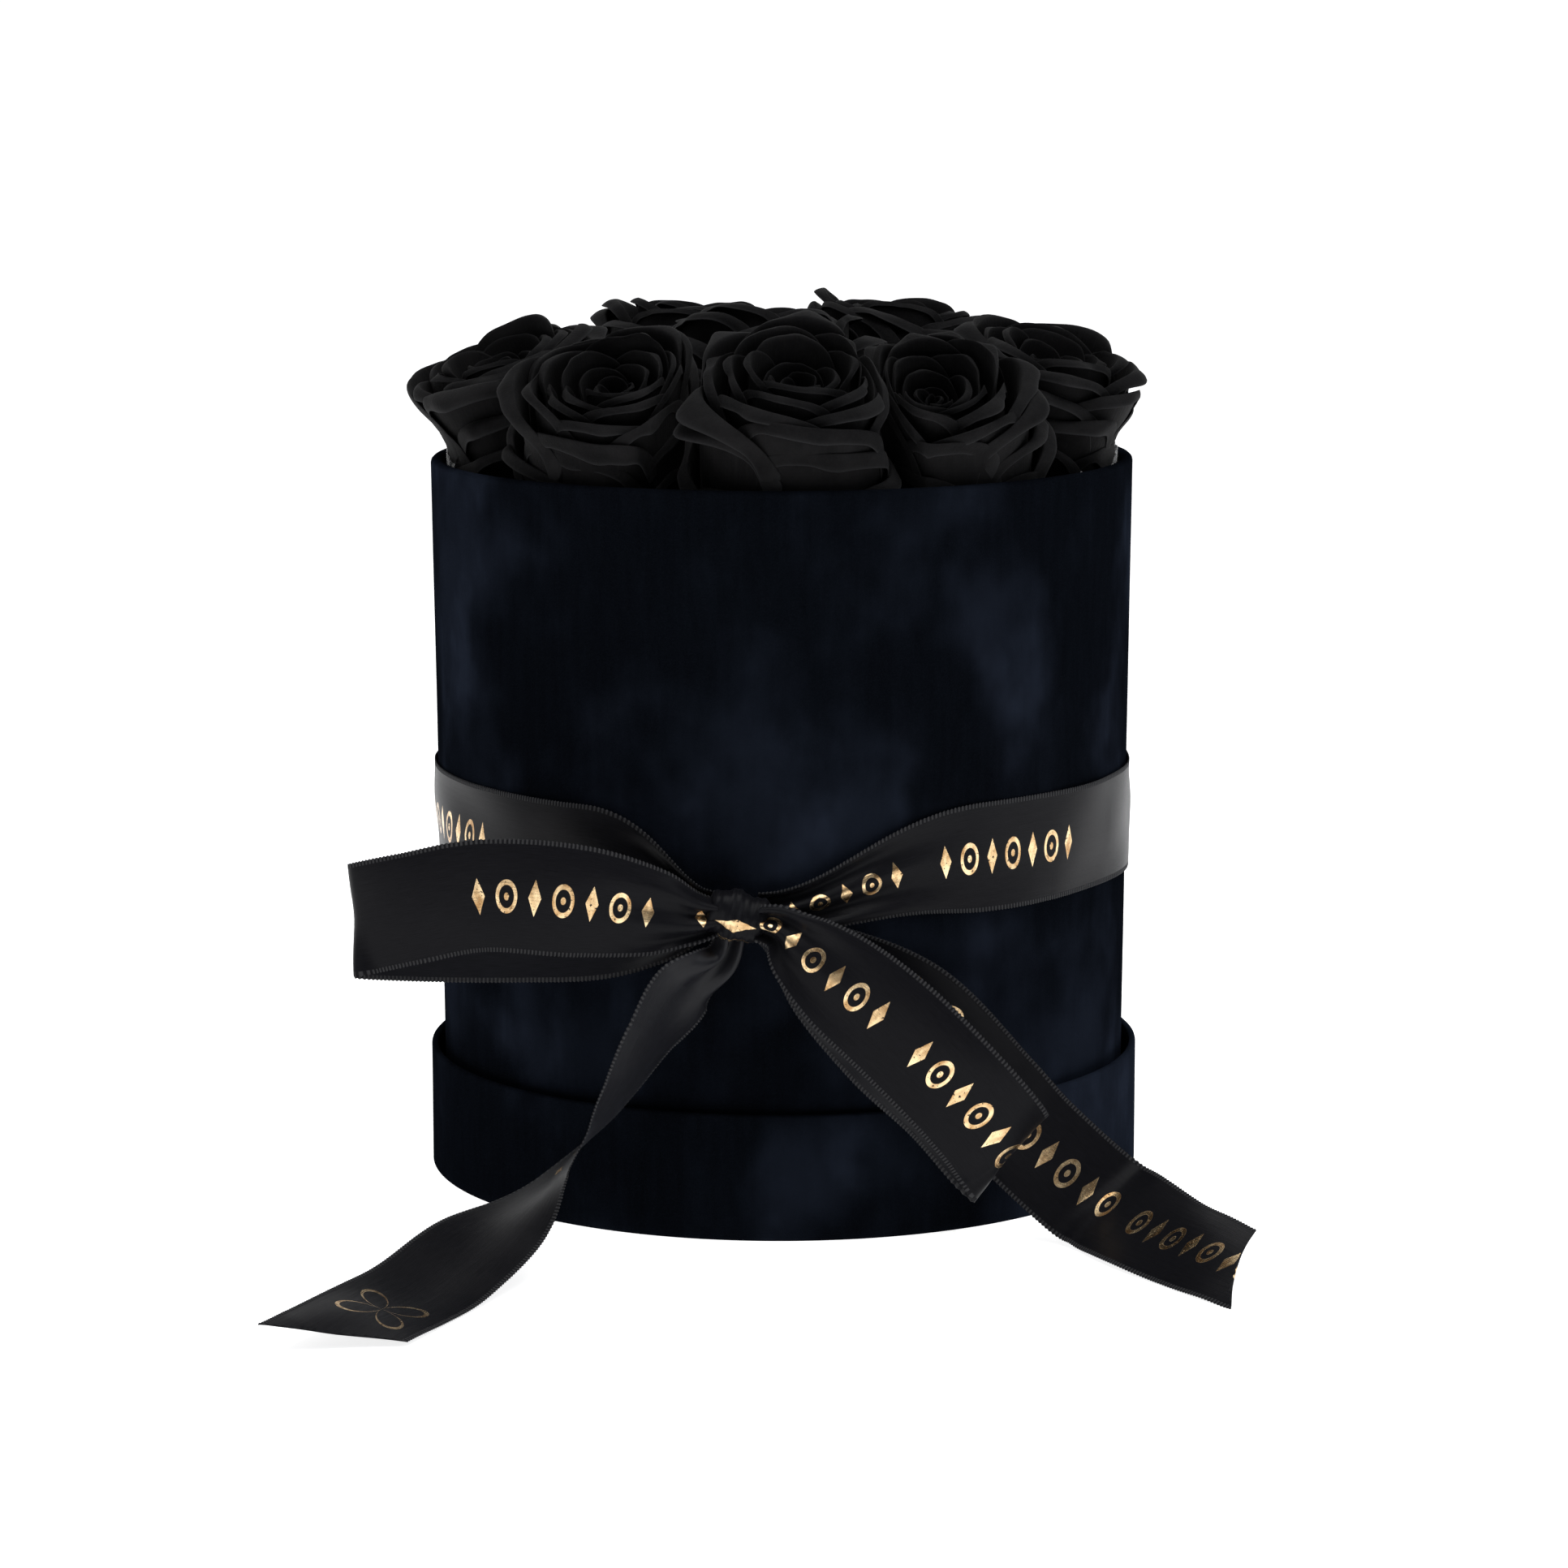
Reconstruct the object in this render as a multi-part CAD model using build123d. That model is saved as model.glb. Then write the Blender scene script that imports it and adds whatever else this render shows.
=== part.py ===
from build123d import *
from math import atan2, cos, radians, sin
import os

# A round velvet flower box with preserved roses, standing in its own upturned lid and tied
# with a satin ribbon. Millimetres. The origin is the middle of the lid where it meets the
# table, +Z is up and the bow faces -Y.

# ---- Box ----
BOX_DIAMETER = 170.0  # over the velvet, at the rim
BOX_TAPER = 3.6  # how much narrower the base is than the rim
BOX_HEIGHT = 171.5  # underside to rim
BOX_BOARD = 2.0  # greyboard of the wall and the bottom
VELVET = 0.4
LINING = 0.25
BOX_TURN_IN = 15.0  # velvet turned in over the rim
HEM = 8.0  # velvet turned under the bottom edge
RIM_ROUND = 0.8  # on the board's top edge

# ---- Lid, upturned as a stand ----
LID_HEIGHT = 29.7
LID_BOARD = 1.0
LID_PLATE = 1.5  # greyboard of the flat top
LID_TURN_IN = 10.0
LID_FIT = 0.3  # lid's inside over the box's rim, on the radius
LID_LINING = 0.2

# ---- Inside ----
FILM = 0.3
FILM_GAP = 0.3
FILM_DROP = 1.0  # film's edge below the rim
FOAM_DIAMETER = 148.0
FOAM_DROP = 30.5  # foam's top below the rim
STEM_DIAMETER = 4.5
STEM_LENGTH = 58.0
STEM_FIT = 0.1  # foam's hole round a stem, on the radius
CALYX_HEIGHT = 6.0
CALYX_DIAMETER = 13.0

# ---- Roses: (bearing from the front, inset from the wall, crown above the rim) ----
ROSES = [
    (-86.0, 17.4, 30.0),
    (-45.5, 21.5, 31.0),
    (1.0, 22.0, 31.0),
    (47.0, 20.0, 31.0),
    (84.0, 17.4, 30.0),
    (149.0, 24.0, 34.0),
    (-150.5, 24.0, 34.0),
    (-90.0, 78.0, 31.0),
]
HEAD_HEIGHT = 52.0
HEAD_MIDDLE = 16.0  # widest place, below the crown
HEAD_CLEARANCE = 0.6  # between the closest two heads
FAN_DEPTH = 158.5  # the stems fan out from a point on the box's axis this far below the rim

# ---- Ribbon ----
RIBBON_WIDTH = 25.4
RIBBON = 0.5
RIBBON_GAP = 0.3
BAND_HEIGHT = 87.1  # middle of the band
BAND_WAIST = 9.0  # band gathered behind the knot
KNOT_BEARING = -10.4  # knot's middle, to the left of the front
KNOT_HEIGHT = 77.4
KNOT_SIZE = (12.5, 11.0, 12.0)
KNOT_ROUND = 3.0
GATHERED = 9.0  # ribbon's width where it leaves the knot

LID_WELL = VELVET + LID_PLATE + LID_LINING  # where the box stands in the lid
RIM = LID_WELL + BOX_HEIGHT
LID_RADIUS = BOX_DIAMETER / 2 + LID_FIT + VELVET + LID_BOARD + LID_LINING


def box_radius(z):
    """Outside of the velvet at a height."""
    return BOX_DIAMETER / 2 - BOX_TAPER / 2 * (RIM - z) / BOX_HEIGHT


def turned(points):
    """A solid of revolution about +Z from an outline of (radius, height) points."""
    return revolve(make_face(Polyline(points, close=True).edges()).moved(UPRIGHT), Axis.Z)


UPRIGHT = Location(Plane.XZ)


def disc(radius, low, thickness):
    return Pos(0, 0, low) * Cylinder(radius, thickness, align=(Align.CENTER, Align.CENTER, Align.MIN))


def coned_tube(low, high, inner_low, inner_high, wall):
    """A tube whose radii follow a straight taper from its low end to its high end."""
    return turned([
        (inner_low, low),
        (inner_low + wall, low),
        (inner_high + wall, high),
        (inner_high, high),
    ])


# ---- Lid ----


def lid_ring(inset, low, high, wall):
    """A straight ring whose outside is inset from the lid's outside."""
    outer = LID_RADIUS - inset
    return coned_tube(low, high, outer - wall, outer - wall, wall)


def lid_parts():
    board_top = LID_HEIGHT - VELVET
    inner = VELVET + LID_BOARD
    turn_in = lid_ring(inner, LID_HEIGHT - LID_TURN_IN, board_top, VELVET / 2)
    lip = lid_ring(0, board_top, LID_HEIGHT, inner + VELVET / 2)
    band = lid_ring(0, 0, board_top, VELVET) + lip + turn_in
    return {
        "lid_velvet_band": band,
        "lid_velvet_disc": disc(LID_RADIUS - VELVET, 0, VELVET),
        "lid_board_ring": lid_ring(VELVET, VELVET, board_top, LID_BOARD),
        "lid_board_disc": disc(LID_RADIUS - inner, VELVET, LID_PLATE),
        "lid_lining_disc": disc(LID_RADIUS - inner, VELVET + LID_PLATE, LID_LINING),
        "lid_lining_ring": lid_ring(inner, LID_WELL, LID_HEIGHT - LID_TURN_IN, LID_LINING),
    }


# ---- Box ----


def board_outline():
    """Section of the wall's board, with a rounded top edge."""
    low = LID_WELL + VELVET
    high = RIM - VELVET
    outer_low = box_radius(low) - VELVET
    outer_high = box_radius(high) - VELVET
    section = make_face(Polyline([
        (outer_low - BOX_BOARD, low),
        (outer_low, low),
        (outer_high, high),
        (outer_high - BOX_BOARD, high),
    ], close=True).edges())
    return fillet(section.vertices().group_by(Axis.Y)[-1], RIM_ROUND)


def velvet_outline():
    """The board's outline grown by the velvet, less the board, with a hem under the base."""
    board = board_outline()
    hem_top = LID_WELL + VELVET
    turn_end = RIM - BOX_TURN_IN
    middle_low = board_inside(hem_top) + BOX_BOARD / 2
    middle_high = board_inside(turn_end) + BOX_BOARD / 2
    bare = make_face(Polyline([
        (middle_low - BOX_BOARD, hem_top),
        (middle_low, hem_top),
        (middle_high, turn_end),
        (middle_high - BOX_BOARD, turn_end),
    ], close=True).edges())
    hem_end = box_radius(LID_WELL) - HEM
    hem = Pos(hem_end, LID_WELL) * Rectangle(middle_low - hem_end, VELVET, align=Align.MIN)
    return offset(board, VELVET) - board - bare + hem


def board_inside(z):
    return box_radius(z) - VELVET - BOX_BOARD


def film_radius(z):
    """Outside of the film, which hangs clear of the turned-in velvet."""
    return board_inside(z) - VELVET - FILM_GAP


def box_parts():
    floor = LID_WELL + VELVET + BOX_BOARD
    lined = floor + LINING
    lining_top = RIM - BOX_TURN_IN
    film_top = RIM - FILM_DROP
    film_cup = coned_tube(
        lined, film_top, film_radius(lined) - FILM, film_radius(film_top) - FILM, FILM
    )
    return {
        "box_board_tube": revolve(board_outline().moved(UPRIGHT), Axis.Z),
        "box_velvet_sleeve": revolve(velvet_outline().moved(UPRIGHT), Axis.Z),
        "box_velvet_base": disc(box_radius(LID_WELL) - HEM, LID_WELL, VELVET),
        "box_board_bottom": disc(board_inside(LID_WELL + VELVET), LID_WELL + VELVET, BOX_BOARD),
        "box_lining_floor": disc(board_inside(floor) - LINING, floor, LINING),
        "box_lining_wall": coned_tube(
            floor, lining_top, board_inside(floor) - LINING, board_inside(lining_top) - LINING, LINING
        ),
        "film_liner": film_cup + disc(film_radius(lined) - FILM / 2, lined, FILM),
    }


# ---- Roses ----


def rose_reaches():
    """How far each head's middle stands from the box's axis."""
    return [board_inside(RIM) - inset for _, inset, _ in ROSES]


def rose_middles():
    """Middle of each head at its widest place."""
    places = []
    for (bearing, _, crown), reach in zip(ROSES, rose_reaches()):
        angle = radians(bearing)
        places.append(Vector(reach * sin(angle), -reach * cos(angle), RIM + crown - HEAD_MIDDLE))
    return places


def head_radius():
    """Heads are graded to fill the box: the closest two stay clear, and so does the wall."""
    places = rose_middles()
    limits = [(a - b).length / 2 - HEAD_CLEARANCE for i, a in enumerate(places) for b in places[:i]]
    film_inside = film_radius(RIM) - FILM
    for place, reach in zip(places, rose_reaches()):
        rise = place.Z - RIM + FAN_DEPTH
        lean = atan2(reach, rise)
        limits.append((film_inside - reach * FAN_DEPTH / rise) * cos(lean))
    return min(limits)


def rose_frames():
    """Each rose's frame: origin at the foot of its head, z along its stem."""
    fan = Vector(0, 0, RIM - FAN_DEPTH)
    foot = HEAD_HEIGHT - HEAD_MIDDLE
    frames = []
    for middle in rose_middles():
        lean = (middle - fan).normalized()
        frames.append(Location(Plane(origin=middle - lean * foot, z_dir=lean)))
    return frames


def rose_head(radius):
    """A plain goblet of the head's size, without its petals."""
    widest = HEAD_HEIGHT - HEAD_MIDDLE
    outline = Spline(
        (CALYX_DIAMETER / 2, 0),
        (0.62 * radius, 0.32 * widest),
        (radius, widest),
        (0.72 * radius, HEAD_HEIGHT - 0.25 * HEAD_MIDDLE),
        (0.3 * radius, HEAD_HEIGHT),
    )
    end = outline @ 1
    rest = Polyline((end.X, end.Y), (0, HEAD_HEIGHT), (0, 0), (CALYX_DIAMETER / 2, 0))
    return revolve(make_face(outline.edges() + rest.edges()).moved(UPRIGHT), Axis.Z)


def stem_below(clearance):
    """A stem hanging from the calyx, with an optional clearance for the hole it makes."""
    stem = Cylinder(
        STEM_DIAMETER / 2 + clearance, STEM_LENGTH + clearance,
        align=(Align.CENTER, Align.CENTER, Align.MAX),
    )
    return Pos(0, 0, -CALYX_HEIGHT) * stem


def rose_parts():
    head = rose_head(head_radius())
    calyx = Pos(0, 0, -CALYX_HEIGHT) * Cone(
        STEM_DIAMETER / 2, CALYX_DIAMETER / 2, CALYX_HEIGHT,
        align=(Align.CENTER, Align.CENTER, Align.MIN),
    )
    parts = {}
    for number, frame in enumerate(rose_frames(), start=1):
        parts[f"rose_head_{number}"] = frame * head
        parts[f"rose_calyx_{number}"] = frame * calyx
        parts[f"rose_stem_{number}"] = frame * stem_below(0)
    return parts


def foam_parts():
    """The foam block stands on the film, and each stem has its own hole in it."""
    low = LID_WELL + VELVET + BOX_BOARD + LINING + FILM
    foam = disc(FOAM_DIAMETER / 2, low, RIM - FOAM_DROP - low)
    for frame in rose_frames():
        foam -= frame * stem_below(STEM_FIT)
    return {"floral_foam": foam}


# ---- Ribbon ----


def strip_corners(stations):
    """Corners of the ribbon's section at each station of (middle, direction across, width)."""
    middles = [Vector(*station[0]) for station in stations]
    rings = []
    for i, (_, across, width) in enumerate(stations):
        ahead = middles[min(i + 1, len(middles) - 1)] - middles[max(i - 1, 0)]
        plane = Plane(origin=middles[i], x_dir=Vector(*across), z_dir=ahead)
        half = Vector(width / 2, RIBBON / 2)
        signs = ((-1, -1), (1, -1), (1, 1), (-1, 1))
        rings.append([plane.from_local_coords(Vector(half.X * x, half.Y * y)) for x, y in signs])
    return rings


def strip(stations):
    """A ribbon closed by ruled faces between its stations."""
    rings = strip_corners(stations)
    faces = [Face(Wire.make_polygon(ring)) for ring in (rings[0], rings[-1])]
    for ring, following in zip(rings, rings[1:]):
        for corner in range(4):
            beside = (corner + 1) % 4
            near = Edge.make_line(ring[corner], ring[beside])
            far = Edge.make_line(following[corner], following[beside])
            faces.append(Face.make_surface_from_curves(near, far))
    return Solid(Shell(faces))


def at_height(x, y, z):
    """A point to the right of and in front of the knot's middle, at a height over the table."""
    return (KNOT_BEARING + x, knot_y() - y, z)


def from_knot(x, y, z):
    """A point by its place to the right of, in front of and above the knot's middle."""
    return at_height(x, y, KNOT_HEIGHT + z)


def knot_y():
    band_face = box_radius(KNOT_HEIGHT) + 2 * RIBBON_GAP + RIBBON
    return -(band_face + KNOT_SIZE[1] / 2)


def ribbon_band():
    """A closed turn of ribbon on the wall, gathered to a waist behind the knot."""
    low = BAND_HEIGHT - RIBBON_WIDTH / 2
    high = BAND_HEIGHT + RIBBON_WIDTH / 2
    ring = coned_tube(low, high, box_radius(low) + RIBBON_GAP, box_radius(high) + RIBBON_GAP, RIBBON)
    spread = box_radius(BAND_HEIGHT) / 2
    left = KNOT_BEARING - KNOT_SIZE[0] / 2
    right = KNOT_BEARING + KNOT_SIZE[0] / 2
    for edge, waist in ((high, BAND_WAIST / 2), (low, -BAND_WAIST / 2)):
        beyond = edge + (1 if waist > 0 else -1)
        notch = make_face(Polyline([
            (-spread, beyond),
            (left, KNOT_HEIGHT + waist),
            (right, KNOT_HEIGHT + waist),
            (spread, beyond),
        ], close=True).edges())
        ring -= extrude(notch.moved(UPRIGHT), BOX_DIAMETER)
    return ring


UP = (0, 0, 1)


def left_loop():
    return strip([
        (from_knot(-7.2, 3.0, 0.0), UP, GATHERED),
        (from_knot(-10.0, 4.0, 0.4), UP, GATHERED + 4),
        (from_knot(-19.0, 6.5, 2.2), UP, GATHERED + 11),
        (from_knot(-36.0, 8.5, 5.2), UP, RIBBON_WIDTH),
        (from_knot(-57.0, 8.0, 6.4), UP, RIBBON_WIDTH),
        (from_knot(-74.0, 5.5, 3.0), UP, RIBBON_WIDTH),
        (from_knot(-84.5, 1.0, 0.0), UP, RIBBON_WIDTH),
        (from_knot(-86.2, -2.5, -1.5), UP, RIBBON_WIDTH),
        (from_knot(-83.5, -6.0, -2.8), UP, RIBBON_WIDTH),
        (from_knot(-70.0, -9.0, -4.0), UP, RIBBON_WIDTH),
        (from_knot(-52.0, -9.0, -4.2), UP, RIBBON_WIDTH),
        (from_knot(-33.0, -6.5, -3.2), UP, RIBBON_WIDTH),
        (from_knot(-19.0, -3.6, -2.0), UP, GATHERED + 11),
        (from_knot(-10.0, -1.4, -0.8), UP, GATHERED + 4),
        (from_knot(-7.2, -0.8, -0.6), UP, GATHERED),
    ])


def right_loop():
    across = (0.643, 0, 0.766)
    return strip([
        (from_knot(7.6, 4.0, -1.5), UP, GATHERED - 1),
        (from_knot(9.8, 4.6, -2.0), (0.15, 0, 1), GATHERED + 2),
        (from_knot(15.0, 7.2, -6.5), (0.45, 0, 0.9), GATHERED + 9),
        (from_knot(24.0, 10.0, -14.0), across, GATHERED + 14),
        (from_knot(36.4, 12.5, -24.4), across, RIBBON_WIDTH),
        (from_knot(49.4, 14.5, -37.4), across, RIBBON_WIDTH),
        (from_knot(57.4, 13.8, -47.0), across, RIBBON_WIDTH),
        (from_knot(60.4, 10.6, -52.5), across, RIBBON_WIDTH),
        (from_knot(57.4, 6.6, -54.5), across, RIBBON_WIDTH),
        (from_knot(44.4, 4.4, -46.0), across, RIBBON_WIDTH),
        (from_knot(30.4, 3.2, -33.0), across, RIBBON_WIDTH),
        (from_knot(17.4, 2.2, -19.4), (0.5, 0, 0.85), GATHERED + 12),
        (from_knot(9.8, 1.2, -6.0), (0.15, 0, 1), GATHERED),
        (from_knot(7.6, 0.8, -3.6), UP, GATHERED - 2),
    ])


def left_tail():
    return strip([
        (from_knot(-2.0, 0.0, -8.0), (1, 0.3, 0), GATHERED - 2),
        (from_knot(-3.6, 0.3, -10.5), (1, 0.5, 0), GATHERED),
        (at_height(-11.6, 2.5, 61.0), (0.62, 0.78, 0), GATHERED + 11),
        (at_height(-19.6, 5.4, 51.0), (0.45, 0.89, 0), RIBBON_WIDTH),
        (at_height(-26.6, 7.0, 39.0), (0.25, 0.97, 0), RIBBON_WIDTH),
        (at_height(-32.6, 8.0, 29.0), (0, 1, 0), RIBBON_WIDTH),
        (at_height(-43.0, 10.0, 19.0), (-0.26, 0.96, -0.1), RIBBON_WIDTH),
        (at_height(-51.6, 21.0, 11.5), (-0.45, 0.87, 0.2), RIBBON_WIDTH),
        (at_height(-61.0, 37.0, 6.8), (-0.75, 0.6, 0.3), RIBBON_WIDTH),
        (at_height(-70.0, 54.0, 4.2), (-0.92, 0.3, 0.26), RIBBON_WIDTH),
        (at_height(-85.6, 85.0, 4.0), (-0.93, 0.25, 0.24), RIBBON_WIDTH),
    ])


def right_tail():
    return strip([
        (from_knot(7.6, -2.6, -2.5), (0, 0, -1), GATHERED - 2),
        (from_knot(9.6, -2.4, -3.8), (-0.2, 0, -1), GATHERED),
        (from_knot(20.4, -1.6, -10.5), (-0.5, -0.1, -0.85), GATHERED + 8),
        (at_height(39.4, -2.6, 54.0), (-0.7, -0.1, -0.7), RIBBON_WIDTH),
        (at_height(58.4, -5.4, 33.7), (-0.74, -0.2, -0.65), RIBBON_WIDTH),
        (at_height(67.4, -6.0, 23.4), (-0.6, -0.24, -0.75), RIBBON_WIDTH),
        (at_height(78.6, -4.5, 13.0), (-0.5, -0.28, -0.82), RIBBON_WIDTH),
        (at_height(84.4, -1.0, 9.4), (-0.6, -0.46, -0.67), RIBBON_WIDTH),
        (at_height(89.0, 7.0, 8.5), (-0.6, -0.5, -0.6), RIBBON_WIDTH),
        (at_height(96.4, 18.6, 6.7), (-0.6, -0.65, -0.46), RIBBON_WIDTH),
        (at_height(103.2, 28.0, 6.0), (-0.43, -0.8, -0.4), RIBBON_WIDTH),
        (at_height(112.4, 40.5, 4.7), (-0.13, -0.95, -0.3), RIBBON_WIDTH),
    ])


def ribbon_parts():
    knot = Box(*KNOT_SIZE)
    knot = fillet(knot.edges(), KNOT_ROUND)
    return {
        "ribbon_band": ribbon_band(),
        "bow_knot": Pos(*from_knot(0, 0, 0)) * knot,
        "bow_loop_left": left_loop(),
        "bow_loop_right": right_loop(),
        "ribbon_tail_left": left_tail(),
        "ribbon_tail_right": right_tail(),
    }


os.makedirs("parts", exist_ok=True)
for parts in (lid_parts(), box_parts(), rose_parts(), foam_parts(), ribbon_parts()):
    for node, solid in parts.items():
        export_step(solid, f"parts/{node}.step")
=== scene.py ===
import random
from math import atan2, cos, exp, hypot, pi, radians, sin

import bmesh
import bpy
from mathutils import Matrix, Vector, noise


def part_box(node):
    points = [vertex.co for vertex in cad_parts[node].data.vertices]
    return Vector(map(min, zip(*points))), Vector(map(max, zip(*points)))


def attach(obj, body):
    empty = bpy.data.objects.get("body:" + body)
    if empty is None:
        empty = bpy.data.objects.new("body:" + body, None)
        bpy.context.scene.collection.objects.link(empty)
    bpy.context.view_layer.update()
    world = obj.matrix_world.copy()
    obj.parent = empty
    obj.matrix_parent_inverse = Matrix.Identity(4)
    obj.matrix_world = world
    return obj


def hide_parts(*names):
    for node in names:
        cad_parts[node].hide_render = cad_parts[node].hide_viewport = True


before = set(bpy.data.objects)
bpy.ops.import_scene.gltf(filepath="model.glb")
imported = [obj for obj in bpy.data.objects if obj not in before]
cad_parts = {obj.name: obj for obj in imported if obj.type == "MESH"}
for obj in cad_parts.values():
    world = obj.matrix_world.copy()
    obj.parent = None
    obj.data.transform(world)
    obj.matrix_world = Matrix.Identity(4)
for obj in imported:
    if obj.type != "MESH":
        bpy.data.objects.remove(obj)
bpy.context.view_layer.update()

# ---- Lid ----
# The lid stands upside down under the box: a ring and a plate of greyboard, glued together.
# The board is grey chip, pressed from waste paper, so it shows flecks on its cut edges.

MM = 0.001


class Wire:
    """A shader socket that takes arithmetic: an expression on it adds the Math nodes it needs."""

    def __init__(self, tree, socket=None):
        self.tree = tree
        self.socket = socket

    def node(self, kind, settings=None, out=0, **sockets):
        """Any other node: its settings first, then its sockets' values or links.

        A socket goes by its name, or by i and its number where several have one name."""
        made = self.tree.nodes.new("ShaderNode" + kind)
        for name, value in (settings or {}).items():
            setattr(made, name, value)
        for name, value in sockets.items():
            key = int(name[1:]) if name[1:].isdigit() else name.replace("_", " ")
            self.feed(made.inputs[key], value)
        return Wire(self.tree, made.outputs[out])

    def feed(self, socket, value):
        if isinstance(value, Wire):
            self.tree.links.new(value.socket, socket)
        else:
            socket.default_value = value

    def maths(self, operation, *values):
        sockets = {f"i{place}": value for place, value in enumerate(values)}
        return self.node("Math", {"operation": operation}, **sockets)

    def __add__(self, other):
        return self.maths("ADD", self, other)

    def __sub__(self, other):
        return self.maths("SUBTRACT", self, other)

    def __rsub__(self, other):
        return self.maths("SUBTRACT", other, self)

    def __mul__(self, other):
        return self.maths("MULTIPLY", self, other)

    def __truediv__(self, other):
        return self.maths("DIVIDE", self, other)

    def __abs__(self):
        return self.maths("ABSOLUTE", self)

    __radd__ = __add__
    __rmul__ = __mul__

    def between(self, low, high):
        """0 below low and 1 above high, with a smooth step."""
        return self.node(
            "MapRange", {"interpolation_type": "SMOOTHSTEP"}, Value=self, From_Min=low, From_Max=high
        )

    def noise(self, place, scale, detail=2.0, roughness=0.5):
        return self.node("TexNoise", Vector=place, Scale=scale, Detail=detail, Roughness=roughness)

    def stretched(self, place, scale):
        return self.node("Mapping", Vector=place, Scale=scale)

    def mixed(self, factor, dark, light):
        """A colour between two colours."""
        first, second = (c if isinstance(c, Wire) else (*c, 1) for c in (dark, light))
        return self.node("Mix", {"data_type": "RGBA"}, out=2, i0=factor, i6=first, i7=second)

    def bump(self, height, depth):
        return self.node("Bump", Height=height, Distance=depth)


def finish(name, **constants):
    """A new material with the shader's fixed numbers, its socket maker and its own coordinates."""
    material = bpy.data.materials.new(name)
    material.use_nodes = True
    shader = material.node_tree.nodes["Principled BSDF"]
    for socket, value in constants.items():
        shader.inputs[socket.replace("_", " ")].default_value = value
    bench = Wire(material.node_tree)
    place = bench.node("TexCoord", out=3)
    return material, shader, bench, place


def dress(piece, *materials):
    piece.data.materials.clear()
    for material in materials:
        piece.data.materials.append(material)


def greyboard_finish():
    material, shader, bench, place = finish("greyboard", Roughness=0.92, Specular_IOR_Level=0.2)
    flecks = bench.noise(place, 900, 4, 0.7)
    plies = bench.noise(bench.stretched(place, (60, 60, 4000)), 1, 1)
    tone = flecks.between(0.3, 0.75) * 0.7 + plies * 0.3
    colour = bench.mixed(tone, (0.19, 0.175, 0.155), (0.40, 0.38, 0.35))
    bench.feed(shader.inputs["Base Color"], colour)
    bench.feed(shader.inputs["Normal"], bench.bump(flecks + plies * 0.5, 0.12 * MM))
    return material


def lining_finish():
    """Black lining paper: matt, with a faint fibre and a little scuffing."""
    material, shader, bench, place = finish("lining_paper", Specular_IOR_Level=0.25)
    fibre = bench.noise(bench.stretched(place, (900, 900, 350)), 1, 5, 0.65)
    scuff = bench.noise(place, 45, 3).between(0.45, 0.8)
    colour = bench.mixed(fibre * 0.6 + scuff * 0.4, (0.008, 0.008, 0.009), (0.028, 0.028, 0.031))
    bench.feed(shader.inputs["Base Color"], colour)
    bench.feed(shader.inputs["Roughness"], 0.72 + fibre * 0.2)
    bench.feed(shader.inputs["Normal"], bench.bump(fibre, 0.05 * MM))
    return material


greyboard = greyboard_finish()
lining = lining_finish()
for node in ("lid_board_ring", "lid_board_disc"):
    dress(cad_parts[node], greyboard)
for node in ("lid_lining_ring", "lid_lining_disc"):
    dress(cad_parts[node], lining)

# The lid is covered in short-pile velvet: a disc on its flat face and a band round its side,
# turned in over the rim. The band's ends overlap at the back, where the join makes a low step.

VELVET = 0.4 * MM
LID_TURN_IN = 10 * MM
JOIN_STEP = 0.35 * MM
JOIN_WIDTH = 16 * MM


def velvet_finish():
    """Navy-black pile with lighter drifts where it lies the other way. These drifts are painted sheen, the
    light the pile catches, laid into its colour.
    """
    material, shader, bench, place = finish(
        "velvet", Roughness=0.95, Specular_IOR_Level=0.0, Sheen_Weight=0.003, Sheen_Roughness=0.35,
        Sheen_Tint=(0.5, 0.6, 0.9, 1),
    )
    # Painted sheen: the lighter drifts below stand for light caught by the pile, and are mixed into the
    # base colour. The fine strokes are the pile's own grain.
    sheen_clouds = bench.noise(bench.stretched(place, (1, 1, 0.9)), 19, 3.5, 0.55).between(0.43, 0.66)
    wisps = bench.noise(bench.stretched(place, (62, 62, 36)), 1, 3, 0.55).between(0.46, 0.8)
    strokes = bench.noise(bench.stretched(place, (520, 520, 60)), 1, 3, 0.6)
    pile = bench.noise(place, 3600, 2, 0.7)
    nap_and_sheen = sheen_clouds * (0.55 + wisps * 0.6) + wisps * 0.16 + strokes * 0.16
    sheen_clouded = bench.mixed(nap_and_sheen, (0.0011, 0.0014, 0.0020), (0.0110, 0.0145, 0.0235))
    colour = bench.mixed(pile.between(0.35, 0.8) * 0.25, sheen_clouded, (0.009, 0.011, 0.016))
    bench.feed(shader.inputs["Base Color"], colour)
    bench.feed(shader.inputs["Roughness"], 1 - strokes * 0.15)
    bench.feed(shader.inputs["Normal"], bench.bump(pile + strokes * 1.5, 0.09 * MM))
    return material


def new_piece(name, mesh, body, slot, *nodes):
    """A piece in the frame: it rides on a body and stands for CAD nodes. Its slot argument is not used."""
    data = bpy.data.meshes.new(name)
    mesh.to_mesh(data)
    mesh.free()
    data.polygons.foreach_set("use_smooth", [True] * len(data.polygons))
    piece = bpy.data.objects.new(name, data)
    bpy.context.scene.collection.objects.link(piece)
    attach(piece, body)
    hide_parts(*nodes)
    return piece


def turned(outline, steps=240):
    """A closed outline of (radius, height) points turned all the way round the box's axis."""
    mesh = bmesh.new()
    points = [mesh.verts.new((radius, 0, height)) for radius, height in outline]
    edges = [mesh.edges.new(pair) for pair in zip(points, points[1:] + points[:1])]
    bmesh.ops.spin(
        mesh, geom=points + edges, cent=(0, 0, 0), axis=(0, 0, 1), angle=2 * pi, steps=steps,
        use_merge=True,
    )
    bmesh.ops.remove_doubles(mesh, verts=mesh.verts, dist=0.001 * MM)
    bmesh.ops.recalc_face_normals(mesh, faces=mesh.faces)
    return mesh


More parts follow.
